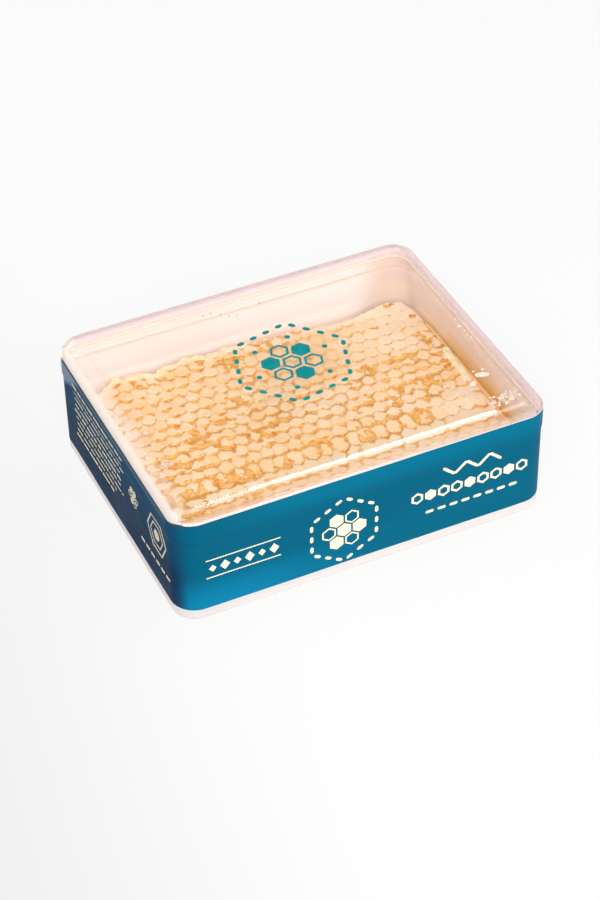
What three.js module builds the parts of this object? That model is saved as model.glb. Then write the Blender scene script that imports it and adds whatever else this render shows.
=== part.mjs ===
// A slab of cut honeycomb packed in its own clear plastic box: a tray, a
// push-on cap lid and a printed wrap band that holds the two together.
// Millimetres, +Z up. The origin is the centre of the underside; the long
// side runs along X and the front faces -Y.

import * as THREE from 'three';

// ---------------------------------------------------------------- dimensions
const LENGTH = 130.0;          // outside of the wrap band, along X
const WIDTH = 103.2;           // outside of the wrap band, along Y
const HEIGHT = 43.5;           // top of the lid
const CORNER_R = 8.55;         // outside corner radius seen from above
const CORNER_STEPS = 6;        // facets in each rounded corner

const BAND_BOTTOM = 4.7;       // lower edge of the wrap band
const BAND_TOP = 40.0;         // upper edge of the wrap band
const BAND_T = 0.35;           // thickness of the wrap band
const BAND_STEP = 0.3;         // the band steps out over the lid skirt
const SEAM_Z = 32.0;           // where the lid's skirt meets the tray

const LID_INSET = 0.6;         // lid skirt, measured in from the band's face
const LID_SKIRT_T = 1.0;
const LID_TOP_T = 1.4;
const LID_RIM_A = 5.5;         // rolled rim of the lid: how far in it reaches
const LID_RIM_B = 3.6;         // and how high it rises
const LID_INNER_A = 4.1;       // the same under the lid
const LID_INNER_B = 2.2;

const TRAY_INSET = 0.9;        // tray wall below the skirt
const FOOT_INSET = 0.4;        // plinth that the band stands on
const FOOT_TOP = 4.45;
const FOOT_R = 1.8;            // rounded bottom edge
const RIM_TOP = 37.7;          // top of the tray's rim, inside the skirt
const RIM_OUTER_INSET = 1.85;
const RIM_INNER_INSET = 2.75;
const FLOOR_T = 1.5;
const FLOOR_R = 1.8;
const WALL_DRAFT = 0.3;        // the cavity narrows by this towards the floor

const CELL_PITCH = 5.086;      // between cell centres along a row
const ROW_PITCH = 4.72;        // between rows
const COLUMN_SHIFT = 1.41;     // the middle cell, from the centre lines
const ROW_SHIFT = 2.7;
const COMB_BOTTOM = 1.85;
const VALLEY_Z = 20.3;         // wax valleys between the caps
const CAP_Z = 21.9;            // usual height of a capped cell
const COMB_X = [-61.3, 60.6];  // cut faces of the slab
const COMB_FRONT_Y = -48.0;
const COMB_CORNER_R = 5.0;

const HONEY_X = [60.92, 61.65]; // seeped honey between the slab and the wall
const HONEY_BOTTOM = 2.6;
const HONEY_TOP = 19.4;
const HONEY_Y = [-40.0, 37.0];

// ------------------------------------------------------------------ materials
const plain = (color, roughness, opacity = 1) =>
  new THREE.MeshStandardMaterial({
    color, roughness, metalness: 0, opacity, transparent: opacity < 1,
  });
const clearPlastic = plain(0xf7eef0, 0.08, 0.3);
const lidPlastic = plain(0xfaf1f2, 0.06, 0.25);
const blueWrap = plain(0x0f7393, 0.35);
const wax = plain(0xfbd9a2, 0.6);
const honey = plain(0xe59a3c, 0.1, 0.8);

// -------------------------------------------------------------------- helpers
// Repeatable value in [-1, 1] for a pair of whole numbers.
function jitter(i, j, salt = 0) {
  const s = Math.sin(i * 127.1 + j * 311.7 + salt * 74.7) * 43758.5453;
  return 2 * (s - Math.floor(s)) - 1;
}

// A rounded rectangle set in from the band's outer face, at height z.
function ring(inset, z) {
  const hx = LENGTH / 2 - inset;
  const hy = WIDTH / 2 - inset;
  const r = Math.max(CORNER_R - inset, 0.8);
  const points = [];
  const corners = [[hx, -hy, -90], [hx, hy, 0], [-hx, hy, 90], [-hx, -hy, 180]];
  for (const [x, y, from] of corners) {
    const arc = new THREE.EllipseCurve(
      x - Math.sign(x) * r, y - Math.sign(y) * r, r, r,
      THREE.MathUtils.degToRad(from), THREE.MathUtils.degToRad(from + 90), false, 0);
    for (const p of arc.getPoints(CORNER_STEPS)) {
      points.push(new THREE.Vector3(p.x, p.y, z));
    }
  }
  return points;
}

// Skins a list of equal rings. An open run is capped at both ends, and a
// closed run joins its last ring to its first.
function loft(rings, closed = false) {
  const n = rings[0].length;
  const position = [];
  const index = [];
  for (const points of rings) for (const p of points) position.push(p.x, p.y, p.z);
  const runs = closed ? rings.length : rings.length - 1;
  for (let i = 0; i < runs; i++) {
    const a = i * n;
    const b = ((i + 1) % rings.length) * n;
    for (let j = 0; j < n; j++) {
      const k = (j + 1) % n;
      index.push(a + j, a + k, b + k, a + j, b + k, b + j);
    }
  }
  if (!closed) {
    const flat = (points) => points.map((p) => new THREE.Vector2(p.x, p.y));
    for (const [a, b, c] of THREE.ShapeUtils.triangulateShape(flat(rings[0]), [])) {
      index.push(a, c, b);
    }
    const last = (rings.length - 1) * n;
    for (const [a, b, c] of THREE.ShapeUtils.triangulateShape(flat(rings.at(-1)), [])) {
      index.push(last + a, last + b, last + c);
    }
  }
  const geometry = new THREE.BufferGeometry();
  geometry.setAttribute('position', new THREE.Float32BufferAttribute(position, 3));
  geometry.setIndex(index);
  geometry.computeVertexNormals();
  return geometry;
}

// Rings round a quarter circle that rises from one inset to another.
function fillet(insetAt, zAt, steps) {
  const rings = [];
  for (let i = 0; i <= steps; i++) {
    const a = (Math.PI / 2) * (i / steps);
    rings.push(ring(insetAt(a), zAt(a)));
  }
  return rings;
}

// ----------------------------------------------------------------------- tray
function trayGeometry() {
  const floorInset = RIM_INNER_INSET + WALL_DRAFT;
  return loft([
    ...fillet((a) => FOOT_INSET + FOOT_R * (1 - Math.sin(a)),
      (a) => FOOT_R * (1 - Math.cos(a)), 4),
    ring(FOOT_INSET, FOOT_TOP),
    ring(TRAY_INSET, FOOT_TOP),
    ring(TRAY_INSET, SEAM_Z - 0.2),
    ring(RIM_OUTER_INSET, SEAM_Z - 0.2),
    ring(RIM_OUTER_INSET, RIM_TOP),
    ring(RIM_INNER_INSET, RIM_TOP),
    ...fillet((a) => floorInset + FLOOR_R * (1 - Math.cos(a)),
      (a) => FLOOR_T + FLOOR_R * (1 - Math.sin(a)), 3),
  ]);
}

// ------------------------------------------------------------------------ lid
function lidGeometry() {
  const skirtInner = LID_INSET + LID_SKIRT_T;
  const ceiling = HEIGHT - LID_TOP_T;
  return loft([
    ...fillet((a) => skirtInner + LID_INNER_A * (1 - Math.sin(a)),
      (a) => ceiling - LID_INNER_B * (1 - Math.cos(a)), 4),
    ring(skirtInner, SEAM_Z + 0.2),
    ring(LID_INSET, SEAM_Z + 0.2),
    ...fillet((a) => LID_INSET + LID_RIM_A * (1 - Math.cos(a)),
      (a) => HEIGHT - LID_RIM_B * (1 - Math.sin(a)), 6),
  ]);
}

// ------------------------------------------------------------------ wrap band
function bandGeometry() {
  return loft([
    ring(BAND_STEP, BAND_BOTTOM),
    ring(BAND_STEP, SEAM_Z - 0.6),
    ring(0, SEAM_Z + 0.6),
    ring(0, BAND_TOP),
    ring(BAND_T, BAND_TOP),
    ring(BAND_T, SEAM_Z + 0.5),
    ring(BAND_STEP + BAND_T, SEAM_Z - 0.7),
    ring(BAND_STEP + BAND_T, BAND_BOTTOM),
  ], true);
}

// ----------------------------------------------------------------- honeycomb
// The back edge of the slab keeps one more row of cells towards the left, is
// torn back a little right of the middle, and its back left corner is broken
// off.
function combBackY(x) {
  const { smoothstep } = THREE.MathUtils;
  const extra = smoothstep(x, -53, -46) * (1 - smoothstep(x, -9, 3));
  const torn = smoothstep(x, 20, 32) * (1 - smoothstep(x, 44, 54));
  return 44.0 + 2.7 * extra - 1.6 * torn + 0.3 * Math.sin(x * 0.37)
    - Math.max(0, -52 - x) * 0.8;
}

// Holds a point of the slab inside its cut faces and rounded corners.
function trim(x, y) {
  let px = THREE.MathUtils.clamp(x, COMB_X[0], COMB_X[1]);
  let py = THREE.MathUtils.clamp(y, COMB_FRONT_Y, combBackY(px));
  for (const side of [0, 1]) {
    const sign = side ? 1 : -1;
    const cx = COMB_X[side] - sign * COMB_CORNER_R;
    const cy = COMB_FRONT_Y + COMB_CORNER_R;
    const dx = px - cx;
    const dy = py - cy;
    const d = Math.hypot(dx, dy);
    if (dx * sign > 0 && dy < 0 && d > COMB_CORNER_R) {
      px = cx + (dx * COMB_CORNER_R) / d;
      py = cy + (dy * COMB_CORNER_R) / d;
    }
  }
  return [px, py];
}

// How full each cell stands: most are capped, some are sunk or torn open.
function capHeight(i, j) {
  const v = jitter(i, j, 1);
  if (v > 0.86) return VALLEY_Z - 1.3;
  if (v > 0.72) return VALLEY_Z + 0.5;
  return CAP_Z + 0.45 * jitter(i, j, 2) + 0.35 * Math.sin(i * 0.31 + j * 0.2);
}

function combGeometry() {
  const position = [];
  const index = [];
  const corners = new Map();
  const edges = new Map();
  const put = (x, y, z) => position.push(x, y, z) / 3 - 1;
  const third = ROW_PITCH / 3;
  const half = CELL_PITCH / 2;
  // Corner number u, v on the hexagon grid, in half cells and thirds of a row.
  const corner = (u, v) => {
    const key = `${u},${v}`;
    if (!corners.has(key)) {
      const loose = 0.35;
      const [x, y] = trim(u * half + COLUMN_SHIFT + loose * jitter(u, v, 3),
        v * third + ROW_SHIFT + loose * jitter(u, v, 4));
      corners.set(key, put(x, y, VALLEY_Z + 0.4 * jitter(u, v, 5)));
    }
    return corners.get(key);
  };
  const rows = Math.ceil(60 / ROW_PITCH);
  const columns = Math.ceil(70 / CELL_PITCH);
  for (let j = -rows; j <= rows; j++) {
    for (let i = -columns; i <= columns; i++) {
      const u = 2 * i + (j & 1);
      const v = 3 * j;
      const x = u * half + COLUMN_SHIFT;
      const y = v * third + ROW_SHIFT;
      if (x < COMB_X[0] + 0.4 || x > COMB_X[1] - 0.4) continue;
      if (y < COMB_FRONT_Y + 0.4 || y > combBackY(x) - 0.8) continue;
      const [tx, ty] = trim(x, y);
      if (Math.hypot(tx - x, ty - y) > 1e-9) continue;
      const z = capHeight(i, j) + (y > 44 ? 0.7 : 0);
      const centre = put(x, y, z);
      const around = [[1, -1], [1, 1], [0, 2], [-1, 1], [-1, -1], [0, -2]]
        .map(([du, dv]) => corner(u + du, v + dv));
      for (let k = 0; k < 6; k++) {
        const a = around[k];
        const b = around[(k + 1) % 6];
        index.push(centre, a, b);
        edges.set(`${a}>${b}`, [a, b]);
      }
    }
  }
  // The outline is every edge that only one cell uses.
  const next = new Map();
  for (const [a, b] of edges.values()) if (!edges.has(`${b}>${a}`)) next.set(a, b);
  const start = next.keys().next().value;
  const outline = [];
  for (let p = start; outline.length === 0 || p !== start; p = next.get(p)) outline.push(p);
  if (outline.length !== next.size) throw new Error('the slab has more than one outline');
  // Cut sides, tucked in at the foot to clear the rounded corner of the tray.
  const levels = [[0.999, VALLEY_Z - 6], [0.998, COMB_BOTTOM + 3.2], [0.966, COMB_BOTTOM]];
  let upper = outline;
  for (const [scale, z] of levels) {
    const lower = outline.map((p) => put(position[3 * p] * scale, position[3 * p + 1] * scale, z));
    for (let k = 0; k < outline.length; k++) {
      const m = (k + 1) % outline.length;
      index.push(upper[k], lower[k], lower[m], upper[k], lower[m], upper[m]);
    }
    upper = lower;
  }
  const flat = upper.map((p) => new THREE.Vector2(position[3 * p], position[3 * p + 1]));
  for (const [a, b, c] of THREE.ShapeUtils.triangulateShape(flat, [])) {
    index.push(upper[a], upper[c], upper[b]);
  }
  const geometry = new THREE.BufferGeometry();
  geometry.setAttribute('position', new THREE.Float32BufferAttribute(position, 3));
  geometry.setIndex(index);
  geometry.computeVertexNormals();
  return geometry;
}

// ---------------------------------------------------------------- seeped honey
// A standing sheet of honey with a sagging top edge, between slab and wall.
function honeyGeometry() {
  const [y0, y1] = HONEY_Y;
  const steps = 16;
  const shape = new THREE.Shape();
  shape.moveTo(y0, HONEY_BOTTOM);
  shape.lineTo(y1, HONEY_BOTTOM);
  for (let i = steps; i >= 0; i--) {
    const t = i / steps;
    const ends = 3.4 * Math.pow(Math.abs(2 * t - 1), 6);
    const wave = 0.5 * Math.sin(t * 9.0) + 0.3 * Math.sin(t * 23.0);
    shape.lineTo(y0 + (y1 - y0) * t, HONEY_TOP - 0.8 + wave - ends);
  }
  const geometry = new THREE.ExtrudeGeometry(shape, {
    depth: HONEY_X[1] - HONEY_X[0], bevelEnabled: false, steps: 1,
  });
  // Turns the shape's x, y to the model's Y, Z, and its thickness to X.
  geometry.applyMatrix4(new THREE.Matrix4().set(
    0, 0, 1, HONEY_X[0],
    1, 0, 0, 0,
    0, 1, 0, 0,
    0, 0, 0, 1));
  return geometry;
}

// ------------------------------------------------------------------- assembly
function named(name, geometry, material) {
  const mesh = new THREE.Mesh(geometry, material);
  mesh.name = name;
  return mesh;
}

const pack = new THREE.Group();
pack.add(named('box_base', trayGeometry(), clearPlastic));
pack.add(named('box_lid', lidGeometry(), lidPlastic));
pack.add(named('wrap_band', bandGeometry(), blueWrap));

const contents = new THREE.Group();
contents.add(named('honeycomb', combGeometry(), wax));
contents.add(named('honey_pool', honeyGeometry(), honey));
pack.add(contents);

export default pack;
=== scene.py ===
# Looks of a boxed slab of honeycomb: clear tray and lid, blue wrap band, comb and honey.
import math
import bpy
import numpy as np
from mathutils import Matrix, Vector


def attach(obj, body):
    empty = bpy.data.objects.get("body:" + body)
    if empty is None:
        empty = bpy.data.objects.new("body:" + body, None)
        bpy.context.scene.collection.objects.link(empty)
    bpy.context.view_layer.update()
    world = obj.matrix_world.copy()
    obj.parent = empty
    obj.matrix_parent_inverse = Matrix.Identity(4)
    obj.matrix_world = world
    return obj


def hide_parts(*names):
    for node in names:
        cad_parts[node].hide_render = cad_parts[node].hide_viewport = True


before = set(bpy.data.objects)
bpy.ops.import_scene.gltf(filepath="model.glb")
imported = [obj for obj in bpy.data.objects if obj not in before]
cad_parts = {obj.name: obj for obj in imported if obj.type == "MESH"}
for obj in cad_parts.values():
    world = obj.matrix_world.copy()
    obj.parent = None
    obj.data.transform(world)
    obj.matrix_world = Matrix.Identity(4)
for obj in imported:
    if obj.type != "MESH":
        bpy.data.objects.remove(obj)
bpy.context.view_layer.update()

MM = 0.001

# ------------------------------------------------------------------ dimensions, mm
LENGTH, WIDTH, HEIGHT, CORNER_R = 130.0, 103.2, 43.5, 8.55
BAND_BOTTOM, BAND_TOP, SEAM_Z = 4.7, 40.0, 32.0
BAND_STEP, BAND_T = 0.3, 0.22
LID_INSET, LID_SKIRT_T, LID_TOP_T = 0.6, 1.0, 1.4
LID_RIM_A, LID_RIM_B, LID_INNER_A, LID_INNER_B = 5.5, 3.6, 4.1, 2.2
TRAY_INSET, FOOT_INSET, FOOT_TOP, FOOT_R = 0.9, 0.4, 4.45, 1.8
RIM_TOP, RIM_OUTER_INSET, RIM_INNER_INSET = 37.7, 1.85, 2.75
FLOOR_T, FLOOR_R, WALL_DRAFT = 1.5, 1.8, 0.3
PITCH, ROW = 5.086, 4.72
SHIFT_X, SHIFT_Y = 1.41, 2.7
COMB_Z0 = 1.85
CEILING = HEIGHT - LID_TOP_T


# ------------------------------------------------------------------ repeatable noise
def hashed(ix, iy, seed):
    """A repeatable value in 0..1 for whole numbers ix, iy."""
    n = (np.asarray(ix, np.int64) * 374761 + np.asarray(iy, np.int64) * 668265 + seed * 982451) & 0xFFFFFFFF
    n = ((n ^ (n >> 13)) * 1274126177) & 0xFFFFFFFF
    n = ((n ^ (n >> 15)) * 2246822519) & 0xFFFFFFFF
    return ((n ^ (n >> 16)) & 0xFFFFF) / float(0xFFFFF)


def ease(t):
    return t * t * (3 - 2 * t)


def smooth(a, b, x):
    return ease(np.clip((np.asarray(x, float) - a) / (b - a), 0, 1))


def noise(x, y, seed):
    """Smooth value noise, -1..1, with one lump for each unit."""
    x, y = np.asarray(x, float), np.asarray(y, float)
    ix, iy = np.floor(x).astype(np.int64), np.floor(y).astype(np.int64)
    u, v = ease(x - ix), ease(y - iy)
    a = hashed(ix, iy, seed) * (1 - u) + hashed(ix + 1, iy, seed) * u
    b = hashed(ix, iy + 1, seed) * (1 - u) + hashed(ix + 1, iy + 1, seed) * u
    return 2 * (a * (1 - v) + b * v) - 1


def fbm(x, y, seed, octaves=3):
    total, size, norm = 0.0, 1.0, 0.0
    for o in range(octaves):
        total = total + size * noise(x * 2 ** o + 17.3 * o, y * 2 ** o - 9.1 * o, seed + 31 * o)
        norm += size
        size *= 0.55
    return total / norm


def blob(x, y, cx, cy, rx, ry):
    """1 in the middle of a soft oval, 0 outside it."""
    return smooth(1.35, 0.45, np.hypot((x - cx) / rx, (y - cy) / ry))


# ------------------------------------------------------------------ mesh helpers
def make(name, verts, faces, material, slot, sharp=35, smooth_faces=True, attrs=None, mats=None, mat_index=None):
    me = bpy.data.meshes.new(name)
    me.from_pydata((np.asarray(verts, float) * MM).tolist(), [], [list(map(int, f)) for f in faces])
    me.validate(verbose=False)
    for m in (mats or [material]):
        me.materials.append(m)
    if mat_index is not None:
        me.polygons.foreach_set("material_index", np.asarray(mat_index, np.int32))
    if smooth_faces:
        me.polygons.foreach_set("use_smooth", np.ones(len(me.polygons), bool))
        if sharp:
            me.set_sharp_from_angle(angle=math.radians(sharp))
    for key, values in (attrs or {}).items():
        a = me.attributes.new(key, "FLOAT", "POINT")
        a.data.foreach_set("value", np.asarray(values, np.float32))
    me.update()
    ob = bpy.data.objects.new(name, me)
    bpy.context.scene.collection.objects.link(ob)
    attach(ob, "root")
    return ob


def ring(inset, z, steps=14, guard=0.5, fill=0):
    """A rounded rectangle set in from the band's outer face, counterclockwise, with extra points where arcs meet straights."""
    hx, hy = LENGTH / 2 - inset, WIDTH / 2 - inset
    r = max(CORNER_R - inset, 0.8)
    pts = []
    corners = ((1, -1, -90), (1, 1, 0), (-1, 1, 90), (-1, -1, 180))
    for k, (sx, sy, a0) in enumerate(corners):
        cx, cy = sx * (hx - r), sy * (hy - r)
        t0 = math.radians(a0)
        first = (cx + r * math.cos(t0) + guard * math.sin(t0), cy + r * math.sin(t0) - guard * math.cos(t0))
        pts.append(first)
        for i in range(steps + 1):
            t = t0 + math.pi / 2 * i / steps
            pts.append((cx + r * math.cos(t), cy + r * math.sin(t)))
        t1 = t0 + math.pi / 2
        last = (cx + r * math.cos(t1) - guard * math.sin(t1), cy + r * math.sin(t1) + guard * math.cos(t1))
        pts.append(last)
        if fill:
            nx, ny, b0 = corners[(k + 1) % 4]
            dx, dy = nx * (hx - r), ny * (hy - r)
            u0 = math.radians(b0)
            nxt = (dx + r * math.cos(u0) + guard * math.sin(u0), dy + r * math.sin(u0) - guard * math.cos(u0))
            for i in range(1, fill + 1):
                f = i / (fill + 1)
                pts.append((last[0] * (1 - f) + nxt[0] * f, last[1] * (1 - f) + nxt[1] * f))
    return np.array([(x, y, z) for x, y in pts])


def loft(rings, closed=False):
    """Skins a list of equal rings, and caps both ends of an open run."""
    n = len(rings[0])
    verts = np.concatenate(rings)
    faces = []
    for i in range(len(rings) if closed else len(rings) - 1):
        a, b = i * n, ((i + 1) % len(rings)) * n
        for j in range(n):
            k = (j + 1) % n
            faces.append((a + j, a + k, b + k, b + j))
    if not closed:
        faces.append(tuple(range(n - 1, -1, -1)))
        faces.append(tuple(range((len(rings) - 1) * n, len(rings) * n)))
    return verts, faces


def arc(inset_at, z_at, steps):
    return [ring(inset_at(a), z_at(a)) for a in (math.pi / 2 * i / steps for i in range(steps + 1))]


# ------------------------------------------------------------------ material helpers
class Mat:
    """A node material, built with short calls."""

    def __init__(self, name):
        self.m = bpy.data.materials.new(name)
        self.m.use_nodes = True
        self.nt = self.m.node_tree
        self.nt.nodes.clear()
        self.out = self.nt.nodes.new("ShaderNodeOutputMaterial")
        self.coord = None

    def node(self, kind, **props):
        n = self.nt.nodes.new(kind)
        for k, v in props.items():
            setattr(n, k, v)
        return n

    def put(self, socket, value):
        if isinstance(value, bpy.types.NodeSocket):
            self.nt.links.new(value, socket)
        elif value is not None:
            if hasattr(socket, "default_value") and hasattr(socket.default_value, "__len__") and len(socket.default_value) == 4 and len(value) == 3:
                value = (*value, 1.0)
            socket.default_value = value

    def where(self):
        if self.coord is None:
            self.coord = self.node("ShaderNodeTexCoord").outputs["Object"]
        return self.coord

    def xyz(self):
        n = self.node("ShaderNodeSeparateXYZ")
        self.put(n.inputs[0], self.where())
        return n.outputs[0], n.outputs[1], n.outputs[2]

    def scaled(self, sx, sy, sz, source=None):
        n = self.node("ShaderNodeMapping")
        self.put(n.inputs["Vector"], source or self.where())
        n.inputs["Scale"].default_value = (sx, sy, sz)
        return n.outputs["Vector"]

    def noise(self, scale, detail=3.0, rough=0.55, vector=None, distortion=0.0):
        n = self.node("ShaderNodeTexNoise")
        self.put(n.inputs["Vector"], vector or self.where())
        n.inputs["Scale"].default_value = scale
        n.inputs["Detail"].default_value = detail
        n.inputs["Roughness"].default_value = rough
        n.inputs["Distortion"].default_value = distortion
        return n.outputs["Fac"]

    def attr(self, name):
        return self.node("ShaderNodeAttribute", attribute_name=name).outputs["Fac"]

    def maths(self, op, a, b=None, c=None, clamp=False):
        n = self.node("ShaderNodeMath", operation=op, use_clamp=clamp)
        for s, v in zip(n.inputs, (a, b, c)):
            if v is not None:
                self.put(s, v)
        return n.outputs[0]

    def times(self, *values):
        out = values[0]
        for v in values[1:]:
            out = self.maths("MULTIPLY", out, v)
        return out

    def most(self, *values):
        out = values[0]
        for v in values[1:]:
            out = self.maths("MAXIMUM", out, v)
        return out

    def span(self, x, a, b, lo=0.0, hi=1.0):
        n = self.node("ShaderNodeMapRange", interpolation_type="SMOOTHSTEP")
        for key, v in (("Value", x), ("From Min", a), ("From Max", b), ("To Min", lo), ("To Max", hi)):
            self.put(n.inputs[key], v)
        return n.outputs["Result"]

    def mix(self, factor, a, b, blend="MIX"):
        n = self.node("ShaderNodeMix", data_type="RGBA", blend_type=blend)
        self.put(n.inputs[0], factor)
        self.put(n.inputs[6], a)
        self.put(n.inputs[7], b)
        return n.outputs[2]

    def bump(self, height, strength, distance, normal=None):
        n = self.node("ShaderNodeBump")
        n.inputs["Strength"].default_value = strength
        n.inputs["Distance"].default_value = distance
        self.put(n.inputs["Height"], height)
        if normal is not None:
            self.put(n.inputs["Normal"], normal)
        return n.outputs["Normal"]

    def principled(self, **values):
        n = self.node("ShaderNodeBsdfPrincipled")
        for key, v in values.items():
            self.put(n.inputs[key.replace("_", " ")], v)
        return n

    def blend(self, factor, a, b):
        m = self.node("ShaderNodeMixShader")
        self.put(m.inputs[0], factor)
        self.nt.links.new(a, m.inputs[1])
        self.nt.links.new(b, m.inputs[2])
        return m.outputs[0]

    def haze(self, colour):
        """Milky plastic: it glows with light from both sides."""
        d = self.node("ShaderNodeBsdfDiffuse")
        t = self.node("ShaderNodeBsdfTranslucent")
        self.put(d.inputs["Color"], colour)
        self.put(t.inputs["Color"], colour)
        return self.blend(0.5, d.outputs[0], t.outputs[0])

    def shader(self, s):
        self.nt.links.new(s, self.out.inputs["Surface"])
        return self.m

    def lamps_through(self, shader, tint):
        """Light on its way to what lies behind the glass goes straight through."""
        path = self.node("ShaderNodeLightPath")
        either = self.maths("MAXIMUM", path.outputs["Is Shadow Ray"], path.outputs["Is Diffuse Ray"])
        clear = self.node("ShaderNodeBsdfTransparent")
        self.put(clear.inputs["Color"], tint)
        return self.shader(self.blend(either, shader, clear.outputs[0]))


def srgb(r, g, b):
    """Linear colour of an 8-bit one."""
    return tuple((c / 255 / 12.92) if c / 255 <= 0.04045 else ((c / 255 + 0.055) / 1.055) ** 2.4 for c in (r, g, b))


def under(light, r, g, b, veil=0.0):
    """Surface colour that reads as the 8-bit colour under so much light, behind a faint veil."""
    return tuple(min(max(c - veil, 0.002) / light, 0.98) for c in srgb(r, g, b))


# ------------------------------------------------------------------ materials
def clear_plastic(name, tint, ior, lid=False, dull=0.0):
    m = Mat(name)
    rough = dull
    x, y, z = m.xyz()
    if lid:
        # A breath of honey and wax dust under the lid, right of the middle.
        far = m.maths("SQRT", m.maths("ADD",
            m.maths("POWER", m.maths("DIVIDE", m.maths("SUBTRACT", x, 0.008), 0.026), 2.0),
            m.maths("POWER", m.maths("DIVIDE", m.maths("SUBTRACT", y, 0.004), 0.020), 2.0)))
        patch = m.span(m.maths("ADD", far, m.times(m.maths("SUBTRACT", m.noise(60.0, 3.0), 0.5), 0.7)), 1.35, 0.30, 0.0, 1.0)
        rough = m.maths("ADD", dull, m.times(patch, 0.10))
        # The rolled rim is milky: pink-white on the left; at the back and right its lilac tint is painted reflection of
        # the dim surroundings.
        above = m.span(z, 0.0370, 0.0383)
        # How far out from the corner's centre a point lies, and how much of that is to the left.
        qx = m.maths("MAXIMUM", m.maths("SUBTRACT", -0.0564, x), 0.0)
        qy = m.maths("MAXIMUM", m.maths("SUBTRACT", -0.0430, y), 0.0)
        out = m.maths("SQRT", m.maths("ADD", m.maths("MULTIPLY", qx, qx), m.maths("MULTIPLY", qy, qy)))
        turn = m.span(m.maths("DIVIDE", qx, m.maths("MAXIMUM", out, 0.00001)), 0.62, 0.99)
        left = m.times(m.most(m.span(out, 0.0056, 0.0071), m.times(m.span(out, 0.0010, 0.0036), 0.17)), turn)
        right_ = m.span(x, 0.0594, 0.0622)
        rear = m.span(y, 0.0454, 0.0482)
        # A narrow white line runs along the front, just over the film.
        front = m.times(m.span(y, -0.0485, -0.0508), m.span(z, 0.0425, 0.0405))
        line = m.times(m.span(out, 0.0069, 0.0075), m.span(z, 0.0409, 0.0402), m.span(x, 0.040, -0.020, 0.45, 0.95))
        amount = m.times(above, m.most(m.times(left, 0.97), m.times(m.most(rear, right_), 0.72), m.times(front, 0.25), line))
        cloud = m.span(m.noise(45.0, 3.0), 0.35, 0.7, 0.93, 1.0)
        # Lilac away from the left and front: painted reflection.
        colour = m.mix(m.span(m.most(left, front), 0.0, 0.16), srgb(232, 220, 228), srgb(254, 250, 248))
        # The skirt's lower edge is cut dull.
        cut = m.span(z, 0.03235, 0.03225)
        colour = m.mix(cut, colour, srgb(240, 218, 206))
        milky = m.haze(colour)
        amount = m.most(m.times(amount, cloud), m.times(cut, 0.9))
    else:
        # The foot, the shoulder under the lid and the top of the tray's wall are milky too.
        foot = m.times(m.span(z, 0.0052, 0.0044), 0.55)
        top = m.times(m.span(z, 0.0366, 0.0372), 1.10)
        shoulder = m.times(m.span(z, 0.03168, 0.03174), m.span(z, 0.03192, 0.03186), 1.10)
        cloud = m.span(m.noise(45.0, 3.0), 0.35, 0.7, 0.8, 1.0)
        amount = m.most(m.times(m.most(foot, top, shoulder), cloud), 0.02)
        milky = m.haze(m.mix(m.span(z, 0.010, 0.030), srgb(242, 236, 238), srgb(240, 224, 216)))
    p = m.principled(Base_Color=tint, Roughness=rough, IOR=ior, Transmission_Weight=1.0)
    return m.lamps_through(m.blend(amount, p.outputs[0], milky), tuple(c ** 0.5 for c in tint))


def band_outside():
    m = Mat("band_print")
    x, y, z = m.xyz()
    cloud = m.noise(18.0, 3.0, vector=m.scaled(0.5, 0.5, 1.6))
    streak = m.noise(40.0, 4.0, vector=m.scaled(0.12, 0.12, 3.0))
    E, N = 1.80, 0.88
    colour = m.mix(m.span(cloud, 0.3, 0.7), under(E, 6, 110, 143), under(E, 9, 116, 149))
    # Painted light: the front is lighter towards its top, less so at the left.
    colour = m.mix(m.times(m.span(z, 0.028, 0.040, 0.0, 0.85), m.span(x, -0.055, -0.022, 0.10, 1.0)), colour, under(E, 3, 136, 174))
    # Painted sheen: the front is lighter towards its lower left.
    lower_left = m.times(m.span(x, 0.010, -0.052), m.span(z, 0.020, 0.006))
    colour = m.mix(m.times(lower_left, 0.9), colour, under(E, 14, 148, 196))
    colour = m.mix(m.span(streak, 0.4, 0.75, 0.0, 0.30), colour, under(E, 4, 100, 132))
    # The short left side is a deeper navy, painted shade for the side turned away from the light, with a dull cut edge
    # along its top.
    shaded_navy = m.mix(m.span(z, 0.014, 0.034), under(N, 16, 46, 76), under(N, 10, 74, 108))
    shaded_navy = m.mix(m.span(streak, 0.35, 0.7, 0.0, 0.4), shaded_navy, under(N, 12, 48, 76))
    # Painted sheen: it is lighter along the top, blue-grey in its upper corner at the back, and near-white at the top
    # of that corner.
    shaded_navy = m.mix(m.times(m.span(z, 0.0364, 0.0376, 0.0, 0.9), m.span(y, -0.046, -0.036)), shaded_navy, under(N, 78, 103, 121))
    shaded_navy = m.mix(m.span(m.maths("MULTIPLY_ADD", z, 1.6, y), 0.0885, 0.0935), shaded_navy, under(N, 128, 146, 170))
    shaded_navy = m.mix(m.span(z, 0.03846, 0.03849), shaded_navy, under(2.0, 70, 98, 118))
    shaded_navy = m.mix(m.times(m.span(y, 0.0430, 0.0465), m.span(z, 0.0345, 0.0375)), shaded_navy, under(N, 216, 208, 214))
    colour = m.mix(m.span(x, -0.0605, -0.0646), colour, shaded_navy)
    grain = m.noise(900.0, 2.0)
    rough = m.span(m.noise(70.0, 4.0), 0.3, 0.8, 0.38, 0.5)
    normal = m.bump(grain, 0.05, 0.0002, m.bump(streak, 0.12, 0.0006))
    p = m.principled(Base_Color=colour, Roughness=rough, Specular_IOR_Level=0.02, Normal=normal)
    return m.shader(p.outputs[0])


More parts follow.
